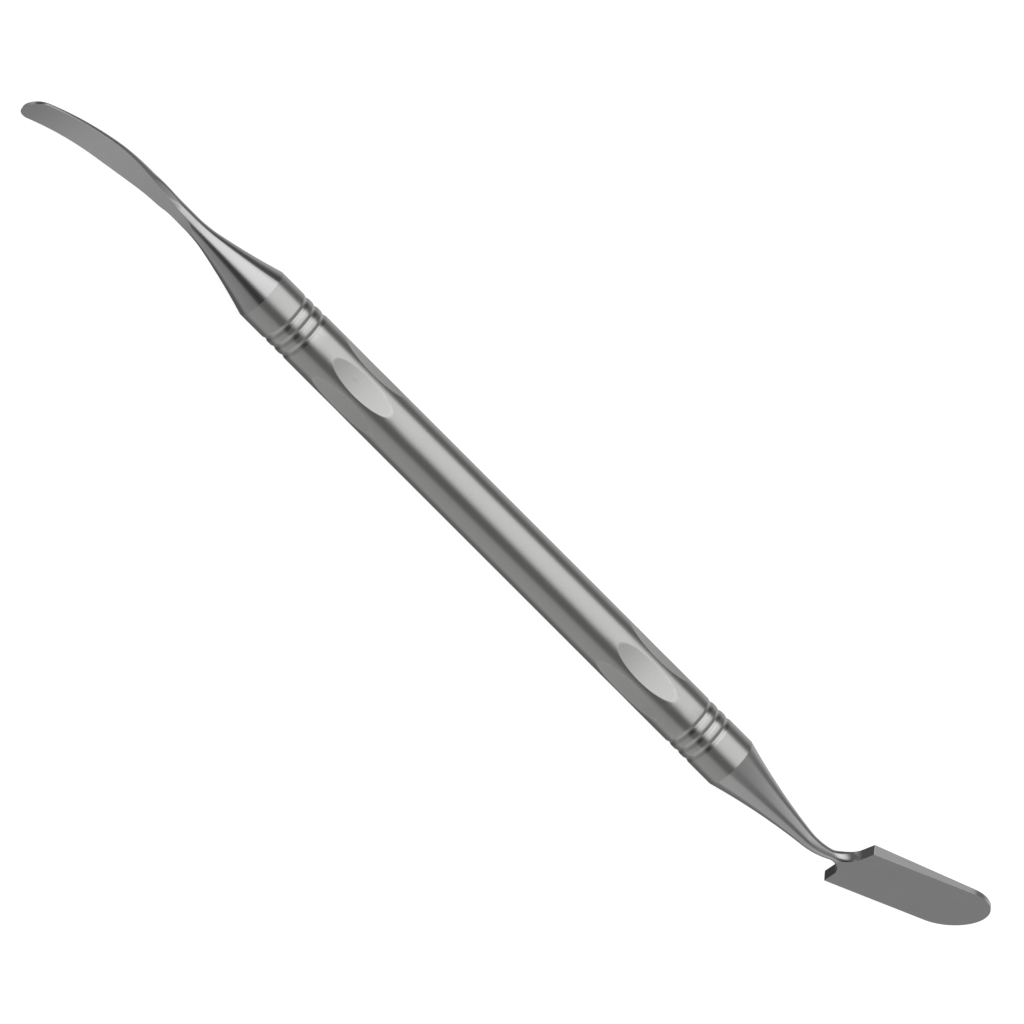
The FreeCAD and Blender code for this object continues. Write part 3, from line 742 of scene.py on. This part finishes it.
# %% A steel with its own marks
PATCHES = (7.0, 7.0, 0.05)
WEAR_LIGHTER, LINE_DARKER = 0.06, 0.05
WEAR_SMOOTHER, LINE_ROUGHER = 0.05, 0.10
PATCH_BASE, PATCH_SPAN = 0.95, 0.10


def steel(name, colour, roughness, first, second, blend, dent):
    """first and second are (length, width, contrast); blend is their mask or a share."""
    material = bpy.data.materials.new(name)
    material.use_nodes = True
    tree = material.node_tree
    if isinstance(blend, tuple):
        span = {"From": blend[0], "To": blend[1]}
        blend = node(tree, "ShaderNodeGroup", node_tree=past_neck, inputs=span).outputs["Mask"]
    fields = []
    for length, width, contrast in (first, second, PATCHES):
        sizes = {"Length": length, "Width": width, "Contrast": contrast}
        fields.append(node(tree, "ShaderNodeGroup", sizes, node_tree=marks).outputs)

    def blended(kind):
        """The first field's value, changed into the second's by the mask."""
        parts = {"Factor": blend, "A": fields[0][kind], "B": fields[1][kind]}
        return node(tree, "ShaderNodeMix", parts).outputs[0]

    height = blended("Height")
    tone = arithmetic(tree, "MULTIPLY", blended("Tone"), fields[2]["Tone"])
    wear = node(tree, "ShaderNodeGroup", {"Strength": 1.0}, node_tree=worn_edges).outputs["Mask"]
    lines = node(tree, "ShaderNodeGroup", node_tree=hairlines).outputs["Mask"]
    tone = arithmetic(tree, "ADD", tone, arithmetic(tree, "MULTIPLY", wear, WEAR_LIGHTER))
    tone = arithmetic(tree, "SUBTRACT", tone, arithmetic(tree, "MULTIPLY", lines, LINE_DARKER))
    tinted = node(tree, "ShaderNodeMix", data_type="RGBA", blend_type="MULTIPLY")
    tinted.inputs[0].default_value = 1.0
    tinted.inputs[6].default_value = (*colour, 1.0)
    tree.links.new(tone, tinted.inputs[7])
    span, base = PATCH_SPAN * roughness, PATCH_BASE * roughness
    patchy = arithmetic(tree, "MULTIPLY_ADD", fields[2]["Height"], span, base)
    duller = arithmetic(tree, "MULTIPLY_ADD", lines, LINE_ROUGHER, patchy)
    rough = arithmetic(tree, "MULTIPLY_ADD", wear, -WEAR_SMOOTHER, duller)
    bump = {"Strength": 1.0, "Distance": dent, "Height": height}
    shader = tree.nodes["Principled BSDF"]
    shader.inputs["Metallic"].default_value = 1.0
    tree.links.new(tinted.outputs[2], shader.inputs["Base Color"])
    tree.links.new(rough, shader.inputs["Roughness"])
    tree.links.new(node(tree, "ShaderNodeBump", bump).outputs[0], shader.inputs["Normal"])
    return material


# %% The handle's steel and the blades' steel
BEAD_MARKS = (0.11, 0.11, 0.30)
TURNED_RINGS = (0.06, 14.0, 0.14)
BRUSHED_LINES = (6.0, 0.09, 0.16)
HANDLE_COLOUR, HANDLE_ROUGHNESS, HANDLE_DENT = (0.60, 0.60, 0.585), 0.27, 2.4e-6
BLADE_COLOUR, BLADE_ROUGHNESS, BLADE_DENT = (0.62, 0.62, 0.62), 0.22, 1.2e-6
BEAD_SHARE = 0.8
BRUSHED_FROM, BRUSHED_TO = 57.0, 61.5

handle_steel = steel(
    "handle_steel", HANDLE_COLOUR, HANDLE_ROUGHNESS, TURNED_RINGS, BEAD_MARKS, BEAD_SHARE, HANDLE_DENT
)
blade_steel = steel(
    "blade_steel", BLADE_COLOUR, BLADE_ROUGHNESS, TURNED_RINGS, BRUSHED_LINES,
    (BRUSHED_FROM, BRUSHED_TO), BLADE_DENT,
)
handle.data.materials.append(handle_steel)
slim_end.data.materials.append(blade_steel)
broad_end.data.materials.append(blade_steel)
for piece in (handle, slim_end, broad_end):
    print(piece.name, "is made of", piece.data.materials[0].name)

# %% [markdown]
# ## The floor
#
# The photograph's ground is plain white, with no shadow to be seen. A grey floor
# under strong lamps could come out as white, but the lamps would then show in the steel.
# So this floor glows by itself, and the steel doesn't mirror it. From below it lets the
# camera look through, so that the underside of the instrument can be seen.

# %% A pale floor
FLOOR_HALF, FLOOR_GREY, GROUND_WHITE = 8, 0.35, 0.93
floor_mesh = bpy.data.meshes.new("floor")
corners = [(x * FLOOR_HALF, y * FLOOR_HALF, 0) for x, y in ((-1, -1), (1, -1), (1, 1), (-1, 1))]
floor_mesh.from_pydata(corners, [], [(0, 1, 2, 3)])
floor = bpy.data.objects.new("floor", floor_mesh)
scene.collection.objects.link(floor)
floor.visible_glossy = False
pale = bpy.data.materials.new("pale_floor")
pale.use_nodes = True
nodes, links = pale.node_tree.nodes, pale.node_tree.links
pale_shader = nodes["Principled BSDF"]
pale_shader.inputs["Base Color"].default_value = (FLOOR_GREY, FLOOR_GREY, FLOOR_GREY, 1)
pale_shader.inputs["Roughness"].default_value = 0.9
pale_shader.inputs["Specular IOR Level"].default_value = 0.0
pale_shader.inputs["Emission Color"].default_value = (1, 1, 1, 1)
pale_shader.inputs["Emission Strength"].default_value = GROUND_WHITE
see_through = nodes.new("ShaderNodeBsdfTransparent")
facing = nodes.new("ShaderNodeNewGeometry")
pick = nodes.new("ShaderNodeMixShader")
links.new(facing.outputs["Backfacing"], pick.inputs[0])
links.new(pale_shader.outputs[0], pick.inputs[1])
links.new(see_through.outputs[0], pick.inputs[2])
links.new(pick.outputs[0], nodes["Material Output"].inputs[0])
floor_mesh.materials.append(pale)
print("The floor reaches", FLOOR_HALF, "metres each way and glows at", GROUND_WHITE)

# %% [markdown]
# ## Soft light, drawn round the handle
#
# Polished steel shows little of its own. What we see on it is the room: a broad soft box
# overhead, dark gaps in front of it and behind it, and pale walls lower down. Area lamps
# could stand there, but their edges are hard and they don't fade along their length. Here
# the whole studio is one sky, given by two angles: the turn round the handle, measured
# from straight up towards the blades' faces, and the lean along it. Each table below lists
# places and grey levels, which were set until the bands of light looked right.

# %% The studio as a sky
WALLS = [
    (-180, 0.05), (-165, 0.03), (-148, 0.035), (-120, 0.25), (-90, 0.42), (-70, 0.19), (-57, 0.015),
    (-44, 0.01), (60, 0.0), (88, 0.01), (98, 0.245), (145, 0.275), (160, 0.30), (174, 0.09), (180, 0.055),
]
BOX = [(-33, 0.0), (-21, 1.0), (20, 0.98), (43, 0.9), (59, 0.0)]
BOX_FADE = [
    (-0.9, 0.0), (-0.55, 0.95), (-0.17, 1.12), (0.09, 1.0), (0.25, 0.88), (0.32, 0.6), (0.48, 0.38),
    (0.64, 0.11), (0.8, 0.0),
]
AIR = [
    (-1.0, 0.15), (-0.86, 0.12), (-0.79, 0.05), (-0.75, 0.05), (-0.68, 0.08), (-0.58, 0.04),
    (-0.5, 0.015), (-0.4, 0.015), (-0.17, 0.045), (0.0, 0.075), (0.26, 0.123), (0.64, 0.21),
    (1.0, 0.30),
]
HALF_TURN = 180.0

world = bpy.data.worlds.new("studio")
scene.world = world
world.use_nodes = True
sky = world.node_tree


def grey_by_place(value, low, high, stops):
    """A grey level for each place between low and high, in straight runs between stops."""
    share = node(sky, "ShaderNodeMapRange", {"Value": value, "From Min": low, "From Max": high})
    ramp = node(sky, "ShaderNodeValToRGB", {0: share.outputs[0]})
    elements = ramp.color_ramp.elements
    while len(elements) > 1:
        elements.remove(elements[-1])
    elements[0].position = (stops[0][0] - low) / (high - low)
    for place, _ in stops[1:]:
        elements.new((place - low) / (high - low))
    for element, (_, level) in zip(elements, stops):
        element.color = (level, level, level, 1.0)
    return ramp.outputs[0]


way = node(sky, "ShaderNodeTexCoord").outputs["Generated"]
lean_along, sideways, upwards = node(sky, "ShaderNodeSeparateXYZ", {0: way}).outputs
turn = arithmetic(sky, "ARCTAN2", arithmetic(sky, "MULTIPLY", sideways, -1.0), upwards)
turn = arithmetic(sky, "MULTIPLY", turn, HALF_TURN / np.pi)
walls = grey_by_place(turn, -HALF_TURN, HALF_TURN, WALLS)
soft_box = grey_by_place(turn, -HALF_TURN, HALF_TURN, BOX)
soft_box = arithmetic(sky, "MULTIPLY", soft_box, grey_by_place(lean_along, -1.0, 1.0, BOX_FADE))
air = grey_by_place(lean_along, -1.0, 1.0, AIR)
level = arithmetic(sky, "ADD", arithmetic(sky, "ADD", walls, air), soft_box)
print("The sky has", sum(map(len, (WALLS, BOX, BOX_FADE, AIR))), "stops of grey")

# %% What the camera sees of it is plain
path = node(sky, "ShaderNodeLightPath")
seen = node(sky, "ShaderNodeMix", {"Factor": path.outputs["Is Camera Ray"], "A": level, "B": GROUND_WHITE})
background = sky.nodes["Background"]
background.inputs["Color"].default_value = (1.0, 1.0, 1.0, 1.0)
sky.links.new(seen.outputs[0], background.inputs["Strength"])
print("Rays from the camera see a plain", GROUND_WHITE)
